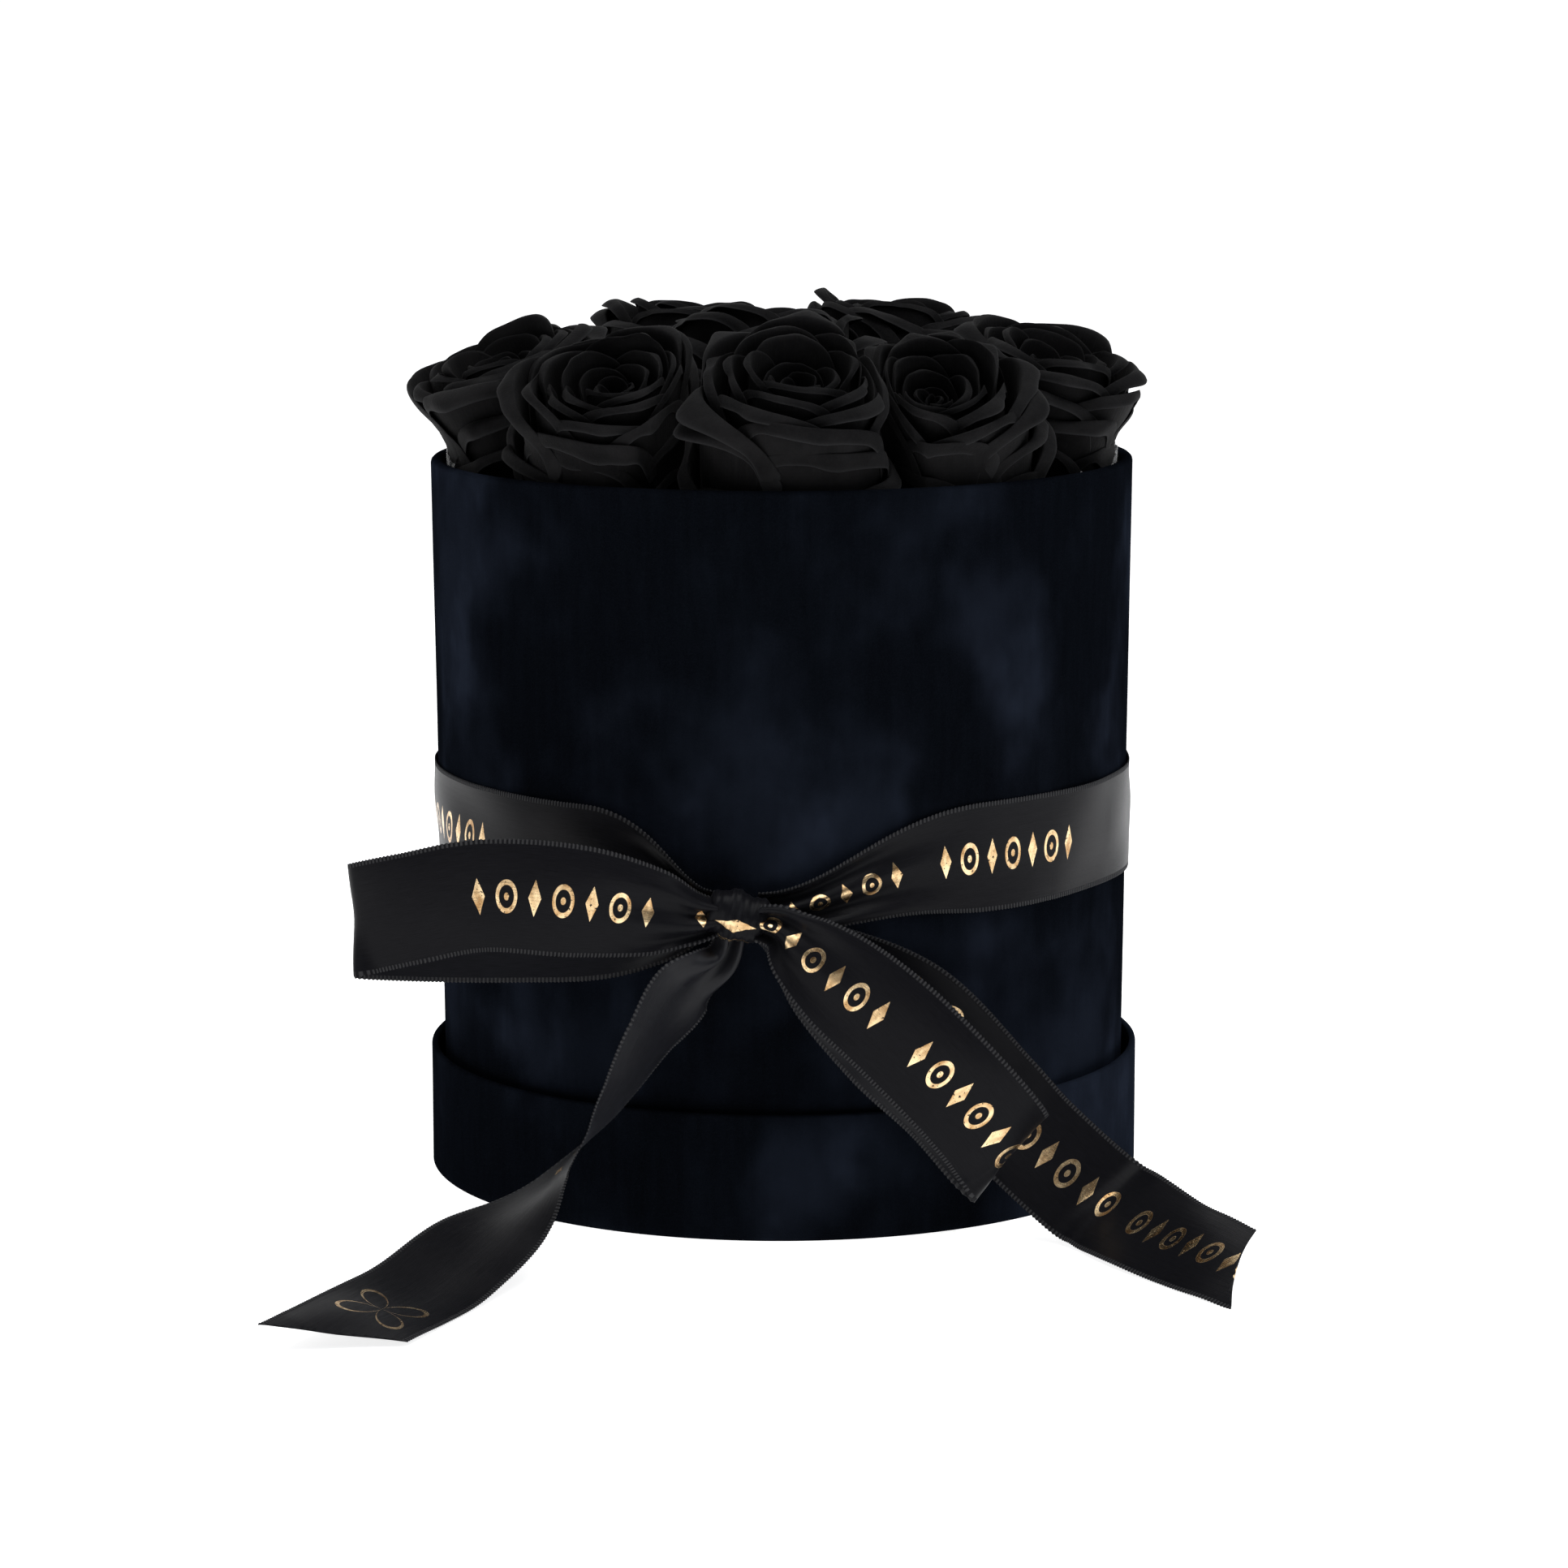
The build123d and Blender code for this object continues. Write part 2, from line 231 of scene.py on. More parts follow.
def rim_wrap(outer, inner, low, high, turn_in, rounding):
    """Outline of a cover that runs up the outside, over a rounded rim and down inside.

    outer and inner are functions of height that give the radius of each face."""
    arc = [radians(angle) for angle in (0, 30, 60, 90)]
    top = high - rounding
    rise = [(outer(height), height) for height in stops(low, top, 16)]
    over = [(outer(high) - rounding * (1 - cos(a)), top + rounding * sin(a)) for a in arc[1:]]
    down = [(inner(high) + rounding * (1 - cos(a)), top + rounding * sin(a)) for a in reversed(arc[1:])]
    end = high - turn_in
    back = [(inner(top), top), (inner(end), end), (inner(end) + VELVET, end)]
    under = [(inner(high) + VELVET, high - VELVET), (outer(high) - VELVET, high - VELVET)]
    return rise + over + down + back + under + [(outer(low) - VELVET, low)]


def stops(low, high, count):
    """Evenly spaced values from low to high."""
    return [low + (high - low) * step / (count - 1) for step in range(count)]


def handled(mesh, seed, join, swell, outer, wall):
    """Gives a turned cover the unevenness of glued cloth and the step where its ends overlap.

    The step fades over the rim, because the cloth is pulled flat where it is turned in."""
    offset = Vector((seed, 0, 0))
    for point in mesh.verts:
        x, y, z = point.co
        radius = hypot(x, y)
        bearing = atan2(x, y) - join
        step = 1 / (1 + exp(-bearing * radius / (0.5 * MM)))
        lap = step * max(0, 1 - abs(bearing) * radius / JOIN_WIDTH)
        lap *= min(1.0, max(0.0, 1 - (outer(z) - radius) / wall))
        uneven = noise.noise(point.co * 26 + offset) * swell
        scale = (radius + lap * JOIN_STEP + uneven) / radius
        point.co = (x * scale, y * scale, z + uneven * 0.4)


velvet = velvet_finish()
lid_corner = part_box("lid_velvet_band")[1]
lid_radius = lid_corner.x
lid_wall = lid_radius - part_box("lid_board_disc")[1].x + 0.2 * MM
lid_cover = turned(rim_wrap(
    lambda height: lid_radius, lambda height: lid_radius - lid_wall,
    0, lid_corner.z, LID_TURN_IN, 0.7 * MM,
))
handled(lid_cover, 3, radians(-12), 0.12 * MM, lambda height: lid_radius, lid_wall)
lid_band = new_piece("lid_velvet_band_cover", lid_cover, "lid", "velvet", "lid_velvet_band")
dress(lid_band, velvet)
dress(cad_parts["lid_velvet_disc"], velvet)

# ---- Box ----
# A rolled tube of greyboard that narrows a little towards its base, with a disc for a bottom.
# It is lined with black paper and stands in the lid.

for node in ("box_board_tube", "box_board_bottom"):
    dress(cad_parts[node], greyboard)
for node in ("box_lining_wall", "box_lining_floor"):
    dress(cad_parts[node], lining)

# The velvet sleeve is glued round the tube, turned in over the rim and hemmed under the base.
# Its ends overlap at the back like the lid's.

sleeve_low, sleeve_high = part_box("box_velvet_sleeve")
rim_radius = sleeve_high.x
rim_height = sleeve_high.z
BOX_TAPER = 1.8 * MM
RIM_THICKNESS = 2.8 * MM
BOX_TURN_IN = 15 * MM


def box_radius(height):
    """Outside of the velvet at a height."""
    return rim_radius - BOX_TAPER * (rim_height - height) / (rim_height - sleeve_low.z)


sleeve = turned(rim_wrap(
    box_radius, lambda height: box_radius(height) - RIM_THICKNESS,
    sleeve_low.z, rim_height, BOX_TURN_IN, 1.1 * MM,
))
handled(sleeve, 11, radians(9), 0.14 * MM, box_radius, RIM_THICKNESS)
box_sleeve = new_piece("box_velvet_cover", sleeve, "box", "velvet", "box_velvet_sleeve")
dress(box_sleeve, velvet)
dress(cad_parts["box_velvet_base"], velvet)

# ---- Film and foam ----
# Clear film is stuffed in between the flowers and the wall to keep the box dry. It creases into
# sharp upright pleats, and its top edge stands just proud of the rim in places.

film_low, film_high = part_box("film_liner")


def film_finish():
    material, shader, bench, place = finish("film", Roughness=0.16, Specular_IOR_Level=0.6)
    crease = bench.noise(bench.stretched(place, (300, 300, 90)), 1, 4, 0.6)
    colour = bench.mixed(crease, (0.06, 0.062, 0.065), (0.55, 0.56, 0.57))
    bench.feed(shader.inputs["Base Color"], colour)
    bench.feed(shader.inputs["Alpha"], 0.28 + crease.between(0.4, 0.75) * 0.5)
    bench.feed(shader.inputs["Normal"], bench.bump(crease, 0.6 * MM))
    return material


def film_wall():
    """A cylinder of film, pushed into pleats that sharpen and rise towards its top edge."""
    mesh = bmesh.new()
    bmesh.ops.create_grid(mesh, x_segments=420, y_segments=22, size=1)
    outside = film_high.x - 0.2 * MM
    for point in mesh.verts:
        bearing = point.co.x * pi
        rise = (point.co.y + 1) / 2
        around = Vector((cos(bearing), sin(bearing), 0))  # its x is 1 at the box's right
        fold = abs(noise.noise(around * 11 + Vector((0, 0, rise * 1.4))))
        crumple = noise.noise(around * 34 + Vector((0, 5, rise * 9)))
        crest = noise.noise(around * 7 + Vector((3, 3, 0))) + 0.5 * noise.noise(around * 25)
        depth = (1.6 * fold + 0.8 * (crumple + 0.4)) * (0.25 + 0.75 * rise)
        radius = outside - max(0.0, depth) * MM - (rim_height - film_high.z) * (1 - rise)
        peak = abs(around.x) ** 14 * 4.6 + 1.5 * around.y
        height = film_low.z + rise * (film_high.z - film_low.z)
        height += (peak - 1.6 + 2.6 * crest) * MM * rise ** 8
        point.co = (around.x * radius, around.y * radius, height)
    bmesh.ops.remove_doubles(mesh, verts=mesh.verts, dist=0.01 * MM)
    return mesh


film = new_piece("film_crumpled", film_wall(), "box", "film", "film_liner")
thin = film.modifiers.new("thickness", "SOLIDIFY")
thin.thickness = 0.04 * MM
dress(film, film_finish())

# A block of dry floral foam stands on the film and holds the stems. It is cut with a knife, so its
# faces are open cells and crumbs.


def foam_finish():
    material, shader, bench, place = finish("floral_foam", Roughness=0.98, Specular_IOR_Level=0.1)
    cells = bench.node("TexVoronoi", Vector=place, Scale=1300)
    crumbs = bench.noise(place, 320, 4, 0.7)
    colour = bench.mixed(crumbs, (0.0045, 0.0060, 0.0050), (0.0150, 0.0200, 0.0155))
    bench.feed(shader.inputs["Base Color"], colour)
    bench.feed(shader.inputs["Normal"], bench.bump(cells + crumbs, 0.5 * MM))
    return material


dress(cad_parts["floral_foam"], foam_finish())

# ---- Roses ----
# Eight preserved roses, dyed black. Each has a woody stem pushed into the foam and a green calyx
# with five sepals bent down under the head.


def stem_finish():
    material, shader, bench, place = finish("stem", Roughness=0.7, Specular_IOR_Level=0.3)
    grain = bench.noise(bench.stretched(place, (700, 700, 120)), 1, 4, 0.6)
    colour = bench.mixed(grain, (0.022, 0.030, 0.014), (0.075, 0.085, 0.040))
    bench.feed(shader.inputs["Base Color"], colour)
    bench.feed(shader.inputs["Normal"], bench.bump(grain, 0.15 * MM))
    return material


stem_green = stem_finish()
ROSES = range(1, 9)
for number in ROSES:
    dress(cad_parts[f"rose_stem_{number}"], stem_green)


def centre(node):
    low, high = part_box(node)
    return (low + high) / 2


HEAD = 46  # a head's height in millimetres, from its foot to its rim
HEAD_SEAT = 3 * MM  # its foot over the calyx's middle
# each head's first petal in radians round it, its size, and how far its bud is set right and back,
# in millimetres
HEADS = {
    1: (0.4, 1.00, 3, -7),
    2: (2.1, 1.00, 8, -10),
    3: (1.2, 1.02, 3, -2),
    4: (3.7, 1.00, -14, -14),
    5: (5.0, 1.00, -6, -7),
    6: (0.9, 1.01, -3, -11),
    7: (4.2, 1.00, 10, -11),
    8: (2.8, 1.12, 0, 4),
}


def rose_frame(number):
    """Foot and lean of a head: from the stem's middle through the calyx's middle, then set over."""
    stem = centre(f"rose_stem_{number}")
    calyx = centre(f"rose_calyx_{number}")
    _, _, right, back = HEADS[number]
    lean = ((calyx - stem).normalized() + Vector((right, back, 0)) / HEAD).normalized()
    turn = lean.to_track_quat("Z", "Y").to_matrix().to_4x4()
    return Matrix.Translation(calyx + lean * HEAD_SEAT) @ turn


SEPALS = 5


def calyx_mesh(number):
    """A seed cup turned from its outline, with five narrow sepals drooping from its edge."""
    cup = [(2.4, -6.0), (3.6, -4.6), (5.0, -2.2), (5.6, 0.4), (4.4, 1.2), (2.4, 0.6)]
    mesh = turned([(radius * MM, height * MM) for radius, height in cup], 24)
    chance = random.Random(700 + number)
    for sepal in range(SEPALS):
        blade = bmesh.ops.create_grid(mesh, x_segments=4, y_segments=10, size=1)["verts"]
        bearing = 2 * pi * sepal / SEPALS + chance.uniform(-0.2, 0.2)
        droop = chance.uniform(5, 10)
        for point in blade:
            along = (point.co.y + 1) / 2
            width = 2.6 * (1 - along) ** 0.7 + 0.3
            out = 5.2 + 8.0 * sin(along * pi / 2)
            across = point.co.x * width
            lift = 0.6 - droop * along ** 1.8 + 0.5 * point.co.x ** 2
            point.co = Vector((
                (out * cos(bearing) - across * sin(bearing)) * MM,
                (out * sin(bearing) + across * cos(bearing)) * MM,
                lift * MM,
            ))
    mesh.transform(rose_frame(number))
    return mesh


for number in ROSES:
    calyx = new_piece(f"rose_sepals_{number}", calyx_mesh(number), "box", "sepals", f"rose_calyx_{number}")
    dress(calyx, stem_green)

# A head is 36 petals laid in rings round a tight bud. The inner ones stand upright with thin
# edges; further out they open, their edges roll back, and the last ones droop over the box's rim.

PETAL = 0.30 * MM


def petal_finish():
    """Matt black velvety petal with fine veins running to its edge. The edge is painted paler, a painted
    highlight where the rim catches light from above.
    """
    material, shader, bench, place = finish(
        "petal", Specular_IOR_Level=0.06, Sheen_Weight=0.012, Sheen_Roughness=0.4
    )
    edge = bench.node("Attribute", {"attribute_name": "edge"}, out=2)
    flat = bench.node("UVMap", {"uv_map": "petal"})
    veins = bench.noise(bench.stretched(flat, (26, 3, 1)), 1, 4, 0.6)
    bloom = bench.noise(place, 110, 3)
    grain = bench.noise(place, 2600, 2)
    body = bench.mixed(bloom.between(0.3, 0.75), (0.0040, 0.0040, 0.0043), (0.0088, 0.0086, 0.0090))
    veined = bench.mixed(veins.between(0.45, 0.75) * 0.25, body, (0.0120, 0.0116, 0.0118))
    # Painted highlight: the petal's rim is made paler where it would catch the light from above.
    colour = bench.mixed(edge * 0.8, veined, (0.0200, 0.0200, 0.0210))
    bench.feed(shader.inputs["Base Color"], colour)
    bench.feed(shader.inputs["Roughness"], 0.68 + grain * 0.25)
    bench.feed(shader.inputs["Normal"], bench.bump(veins + grain * 0.5, 0.10 * MM))
    return material


def smooth(value, low, high):
    share = min(1.0, max(0.0, (value - low) / (high - low)))
    return share * share * (3 - 2 * share)


def eased(values, share):
    """A value at a share from 0 to 1 along a row of values, on a curve through them all."""
    place = min(share, 0.999999) * (len(values) - 1)
    index = int(place)
    t = place - index
    before, start, end, after = (
        values[min(max(index + step, 0), len(values) - 1)] for step in (-1, 0, 1, 2)
    )
    return 0.5 * (
        2 * start + (end - before) * t + (2 * before - 5 * start + 4 * end - after) * t * t
        + (3 * start - before - 3 * end + after) * t ** 3
    )


# rings of petals from the bud outwards: how many, then radius at the belly, radius at the rim,
# height of the rim, half-width in radians and width of the rolled lip, in millimetres
RINGS = [
    (3, 3.0, 1.4, 42.5, 1.90, 0.3),
    (3, 5.3, 4.0, 44.6, 1.60, 0.4),
    (3, 8.2, 7.4, 46.8, 1.45, 0.7),
    (4, 11.5, 11.2, 48.6, 1.20, 0.9),
    (5, 15.0, 15.4, 49.4, 1.02, 1.3),
    (5, 18.4, 19.4, 48.4, 0.98, 2.0),
    (5, 20.9, 22.4, 45.6, 0.94, 3.0),
    (4, 21.8, 23.4, 38.0, 0.92, 3.8),
    (4, 23.2, 26.0, 30.5, 0.98, 3.6),
]


class Petal:
    """One petal: a cupped blade with a rolled lip, in millimetres in the head's own frame."""

    def __init__(self, ring, bearing, chance):
        _, belly, rim, height, half, lip = RINGS[ring]
        self.age = min(1.0, ring / 7)
        self.bearing = bearing
        self.half = half * chance.uniform(0.93, 1.08)
        self.seed = chance.uniform(0, 50)
        self.tuck = 0.7 + 0.5 * self.age
        self.point = chance.choice((0.4, 1.2, 2.4, 3.8)) * (0.2 + self.age)
        self.slant = chance.uniform(-4.5, 4.5) * self.age ** 2
        self.lip = lip * chance.uniform(0.55, 1.2)
        grown = chance.uniform(0.97, 1.03)
        tall = height * (1 + chance.uniform(-0.025, 0.02) * (1 + 2 * self.age ** 3))
        self.profile = [Vector((r * grown, z)) for r, z in (
            (2.0, 0.0), (belly * 0.66, tall * 0.08), (belly * 0.95, tall * 0.27),
            (belly, tall * 0.52), (belly * 0.5 + rim * 0.5, tall * 0.77), (rim, tall - 1.2),
        )]

    def place(self, across, along):
        """A point of the petal from -1 to 1 across and 0 to 1 along."""
        side = abs(across)
        wave = noise.noise(Vector((across * 1.5 + self.seed, self.age * 3, self.seed)))
        fine = noise.noise(Vector((across * 5.5, self.age + self.seed, self.seed * 2)))
        rim = self.profile[-1]
        lip = self.lip * max(0.10, (1 - side ** 1.5) * (1.25 + 1.1 * wave) + 0.35 * fine)
        roll = [
            Vector((rim.x + lip * 0.34, rim.y + 0.8 + lip * 0.04)),
            Vector((rim.x + lip * 0.95, rim.y + 0.6 - lip * 0.10)),
            Vector((rim.x + lip * 1.38, rim.y + 0.2 - lip * 0.38)),
        ]
        point = eased(self.profile + roll, along)
        upper = smooth(along, 0.30, 0.85)
        drop = (0.04 + 0.10 * self.age) * side ** 2.2 + (0.05 + 0.16 * self.age) * side ** 6
        radius = point.x + self.tuck * across - 0.05 * point.x * side ** 2 * (1 - self.age) * upper
        radius += (wave * 1.5 + fine * 0.35) * (0.25 + self.age) * upper
        height = point.y - rim.y * drop * upper + (wave * 1.3 + fine * 0.5) * (0.4 + self.age) * upper
        height += self.slant * across * upper
        tip = max(0.0, 1 - side / 0.34) ** 1.6 * smooth(along, 0.78, 1.0)
        height += self.point * tip * (0.55 - 0.5 * self.age)
        radius += self.point * tip * self.age
        width = (0.50 + 0.50 * smooth(along, 0.0, 0.5)) * (1 - 0.16 * smooth(along, 0.62, 1.0) ** 2)
        angle = self.bearing + across * self.half * width
        return Vector((max(radius, 0.3) * cos(angle), max(radius, 0.3) * sin(angle), height)) * MM


def held_back(depth, zone):
    """Depth past a face, with everything from zone before it onwards pressed in front of it."""
    start = depth + zone
    return depth if start < 0 else -zone * exp(-start / zone)


stands = {number: rose_frame(number) for number in ROSES}
NEIGHBOUR = 62 * MM  # heads further apart than this don't touch
GIVE = 9 * MM  # how deep two heads press into each other
FOREMOST = {3: 0.12}  # the front middle head keeps more than its half of the room
WALL = 80.8 * MM  # how far out a head may reach inside the box
LIP = 1.9 * MM  # petals start to reach out at this height over the rim
OPEN = 18.4 * MM  # and reach out all the way at this one
OVERHANG = 10.5 * MM  # how far they reach out


def crowd(point, number):
    """Presses a point of a head away from its neighbours' heads and from the wall."""
    own = stands[number]
    for other, stand in stands.items():
        if other == number:
            continue
        rise = point.z - own.translation.z
        here = own.translation + own.col[2].xyz * (rise / own[2][2])
        there = stand.translation + stand.col[2].xyz * (rise / stand[2][2])
        apart = there - here
        apart.z = 0
        if apart.length > NEIGHBOUR:
            continue
        toward = apart.normalized()
        share = 0.5 + FOREMOST.get(number, 0) - FOREMOST.get(other, 0)
        depth = (point - (here + apart * share)).dot(toward)
        point = point + toward * (held_back(depth, GIVE) - depth)
    reach = hypot(point.x, point.y)
    limit = WALL + OVERHANG * smooth(point.z, rim_height + LIP, rim_height + OPEN)
    pressed = limit + held_back(reach - limit, 4 * MM)
    return Vector((point.x * pressed / reach, point.y * pressed / reach, point.z))


def rose_mesh(number, turn, size):
    """Lays the rings of petals round the bud, stands the head on its stem and crowds it in."""
    chance = random.Random(40 + number)
    mesh = bmesh.new()
    flat = mesh.loops.layers.uv.new("petal")
    edge = mesh.verts.layers.float.new("edge")
    index = 0
    for ring, (count, *_) in enumerate(RINGS):
        turn += radians(50)
        for step in range(count):
            bearing = turn + 2 * pi * step / count + chance.uniform(-0.13, 0.13)
            petal = Petal(ring, bearing, chance)
            index += 1
            new = bmesh.ops.create_grid(mesh, x_segments=16, y_segments=15, size=1)["verts"]
            for face in {face for point in new for face in point.link_faces}:
                for loop in face.loops:
                    loop[flat].uv = (loop.vert.co.x + index * 3, loop.vert.co.y)
            for point in new:
                across, along = point.co.x, 1 - ((1 - point.co.y) / 2) ** 1.5
                # edge is 1 along the petal's rim. The petal material lays its painted highlight there.
                point[edge] = max(smooth(along, 0.93, 1.0), smooth(abs(across), 0.94, 1.0) * along)
                point.co = petal.place(across, along) * size
    mesh.transform(stands[number])
    for point in mesh.verts:
        point.co = crowd(point.co, number)
    return mesh


petal_black = petal_finish()
for number, (turn, size, *_) in HEADS.items():
    bloom = rose_mesh(number, turn, size)
    head = new_piece(f"rose_bloom_{number}", bloom, "box", "petals", f"rose_head_{number}")
    flesh = head.modifiers.new("thickness", "SOLIDIFY")
    flesh.thickness = PETAL
    flesh.offset = 0
    soft = head.modifiers.new("smooth", "SUBSURF")
    soft.levels = soft.render_levels = 1
    dress(head, petal_black)

# ---- Ribbon ----
# One length of black satin ribbon, 25 mm wide, with a row of gold foil lozenges on its face and a
# picot edge. It goes once round the box and is tied in a bow: band, knot, two loops and two tails.

RIBBON_WIDTH = 25.4 * MM
RIBBON = 0.22 * MM
PICOT = 0.9 * MM
FOIL_PITCH = 6.4 * MM  # the foil is laid out in cells of this length
FOIL_BLANK = 6  # the cell left blank in the row of marks
FOIL_ROW = 14  # cells in the row
ROSETTE = 24.5  # cell at the rosette's middle
FOIL_REPEAT = 29  # cells before the print starts again


def satin_finish(name, printed):
    """Satin face: warp threads run along the ribbon, and the picot edge shows as pale stitches."""
    material, shader, bench, _ = finish(
        name, Specular_IOR_Level=0.06 if printed else 0.16, Anisotropic=0.3,
        Sheen_Weight=0.022, Sheen_Roughness=0.3, Sheen_Tint=(0.80, 0.86, 1, 1),
    )
    flat = bench.node("UVMap", {"uv_map": "ribbon"})
    axes = bench.node("SeparateXYZ", Vector=flat)
    along, across = axes, Wire(bench.tree, axes.socket.node.outputs[1])
    threads = bench.noise(bench.stretched(flat, (220, 9000, 1)), 1, 3, 0.6)
    slubs = bench.noise(bench.stretched(flat, (60, 900, 1)), 1, 2)
    rim = abs(across)
    selvedge = rim.between(11.7 * MM, 11.9 * MM)
    stitch = (bench.maths("PINGPONG", along, PICOT * 0.5) / (PICOT * 0.5)).between(0.35, 0.65)
    # pale is the light end of the weave. On the back it is raised further as painted sheen.
    pale = (0.0105, 0.0106, 0.0130) if printed else (0.0160, 0.0164, 0.0205)
    weave = bench.mixed(threads, (0.0009, 0.0009, 0.0012), pale)
    stitched = bench.mixed(selvedge * (0.06 + stitch * 0.8), weave, (0.040, 0.040, 0.042))
    colour, rough = stitched, 0.27 + threads * 0.14 + selvedge * 0.35
    if printed:
        cell = bench.maths("MODULO", along, FOIL_PITCH) - FOIL_PITCH / 2
        count = bench.maths("MODULO", along, FOIL_PITCH * FOIL_REPEAT) / FOIL_PITCH
        odd = bench.maths("MODULO", along, FOIL_PITCH * 2).between(FOIL_PITCH * 0.99, FOIL_PITCH)
        lozenge = 1 - (abs(cell) / (1.5 * MM) + rim / (4.3 * MM)).between(0.95, 1.0)
        wide, tall = cell / (2.5 * MM), across / (3.9 * MM)
        egg = bench.maths("SQRT", wide * wide + tall * tall)
        ring = egg.between(0.66, 0.70) * (1 - egg.between(0.97, 1.0))
        pip = 1 - egg.between(0.20, 0.25)
        row = 1 - count.between(FOIL_ROW - 0.02, FOIL_ROW)
        blank = count.between(FOIL_BLANK - 0.02, FOIL_BLANK)
        blank = blank * (1 - count.between(FOIL_BLANK + 0.98, FOIL_BLANK + 1))
        marks = row * (1 - blank) * (lozenge * odd + (ring + pip) * (1 - odd))
        side = (count - ROSETTE) * FOIL_PITCH
        far = bench.maths("SQRT", side * side + across * across) + 0.01 * MM
        lobe = abs(side * across) / (far * far) * (2 * 10.2 * MM)
        line = 1 - abs(far - lobe).between(0.42 * MM, 0.55 * MM)
        marks = bench.maths("MAXIMUM", marks, line * count.between(ROSETTE - 2, ROSETTE - 1.98))
        worn = bench.noise(flat, 1500, 3).between(0.30, 0.42)
        foil = marks * worn
        glint = bench.noise(bench.stretched(flat, (420, 160, 1)), 1, 2)
        gold = bench.mixed(glint.between(0.3, 0.7), (0.42, 0.24, 0.10), (0.95, 0.72, 0.42))
        colour = bench.mixed(foil, stitched, gold)
        rough = rough * (1 - foil) + foil * 0.24
        bench.feed(shader.inputs["Metallic"], foil)
    bench.feed(shader.inputs["Base Color"], colour)
    bench.feed(shader.inputs["Roughness"], rough)
    height = threads * 0.6 + slubs * 0.8 + selvedge * stitch * 3
    bench.feed(shader.inputs["Normal"], bench.bump(height, 0.05 * MM))
    return material


satin_face = satin_finish("ribbon_face", True)
satin_back = satin_finish("ribbon_back", False)
knot = centre("bow_knot")


class Route:
    """A ribbon's way through stations of (middle, direction across, width), in millimetres."""

    def __init__(self, stations):
        self.middles = [Vector(middle) * MM for middle, _, _ in stations]
        self.acrosses = [Vector(across).normalized() for _, across, _ in stations]
        self.widths = [width * MM for _, _, width in stations]
        samples = [eased(self.middles, share) for share in stops(0, 1, 600)]
        self.lengths = [0.0]
        for a, b in zip(samples, samples[1:]):
            self.lengths.append(self.lengths[-1] + (b - a).length)
        self.length = self.lengths[-1]

    def share_at(self, distance):
        """Share of the stations at a distance along the ribbon."""
        low, high = 0, len(self.lengths) - 1
        while high - low > 1:
            middle = (low + high) // 2
            low, high = (middle, high) if self.lengths[middle] <= distance else (low, middle)
        span = self.lengths[high] - self.lengths[low]
        return (low + (distance - self.lengths[low]) / span) / (len(self.lengths) - 1)

    def section(self, distance):
        """Middle, direction across, face direction and width at a distance along the ribbon."""
        share = self.share_at(min(max(distance, 0.0), self.length * 0.99999))
        step = 0.002
        ahead = eased(self.middles, min(1, share + step)) - eased(self.middles, max(0, share - step))
        ahead.normalize()
        across = eased(self.acrosses, share)
        across = (across - ahead * across.dot(ahead)).normalized()
        return eased(self.middles, share), across, ahead.cross(across), eased(self.widths, share)


def ribbon_mesh(route, crown, pleats, seed, start=0.0, cut=None, printed_out=True):
    """A strip along its route. It is pleated where it is gathered, and its edges are picots.

    cut gives the length that is cut off its end at each place across it."""
    mesh = bmesh.new()
    flat = mesh.loops.layers.uv.new("ribbon")
    rows = 2 * round(route.length / PICOT)
    bmesh.ops.create_grid(mesh, x_segments=rows, y_segments=18, size=1)
    half = RIBBON_WIDTH / 2
    for face in mesh.faces:
        for loop in face.loops:
            along = (loop.vert.co.x + 1) / 2 * route.length + start
            loop[flat].uv = (along, edged(loop.vert.co.y) * half)
    sections = {}
    for point in mesh.verts:
        row = round((point.co.x + 1) / 2 * rows)
        across = edged(point.co.y)
        distance = row / rows * route.length
        end = route.length - (cut(across) if cut else 0)
        past_cut = distance > end
        distance = min(distance, end)
        key = (row, round(distance / (0.05 * MM)))
        if key not in sections:
            sections[key] = route.section(distance)
        middle, side, face, width = sections[key]
        gather = 1 - min(1.0, width / RIBBON_WIDTH)
        spread = width / 2 * across
        if abs(across) > 0.999 and not past_cut:
            spread += (0.22 * MM if row % 2 else -0.06 * MM) * across
        fold = sin(across * pi * pleats + seed) * gather * 3.0 * MM
        ripple = noise.noise(Vector((distance * 38, across * 0.9, seed))) * 1.1 * MM
        slack = min(1.0, distance / (30 * MM), (route.length - distance) / (14 * MM) + 0.4)
        bow = crown * (1 - across * across) * (1 - gather)
        point.co = middle + side * spread + face * (fold + ripple * slack * (1 - gather) + bow)
    bmesh.ops.remove_doubles(mesh, verts=mesh.verts, dist=0.002 * MM)
    if printed_out:
        bmesh.ops.reverse_faces(mesh, faces=mesh.faces)
    return mesh


def edged(across):
    """Gathers a strip's rows of faces towards its two edges."""
    return (1 - (1 - abs(across)) ** 1.7) * (1 if across > 0 else -1)


def ribbon_piece(name, mesh, node):
    piece = new_piece(name, mesh, "box", "ribbon_satin", node)
    cloth = piece.modifiers.new("thickness", "SOLIDIFY")
    cloth.thickness = RIBBON
    cloth.offset = 0
    cloth.material_offset = 1
    dress(piece, satin_face, satin_back)


# The band lies flat round the wall. At the front it narrows into pleats and dips to the knot,
# because the bow pulls it together there.

band_low, band_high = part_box("ribbon_band")
BAND_LIFT = 0.7 * MM


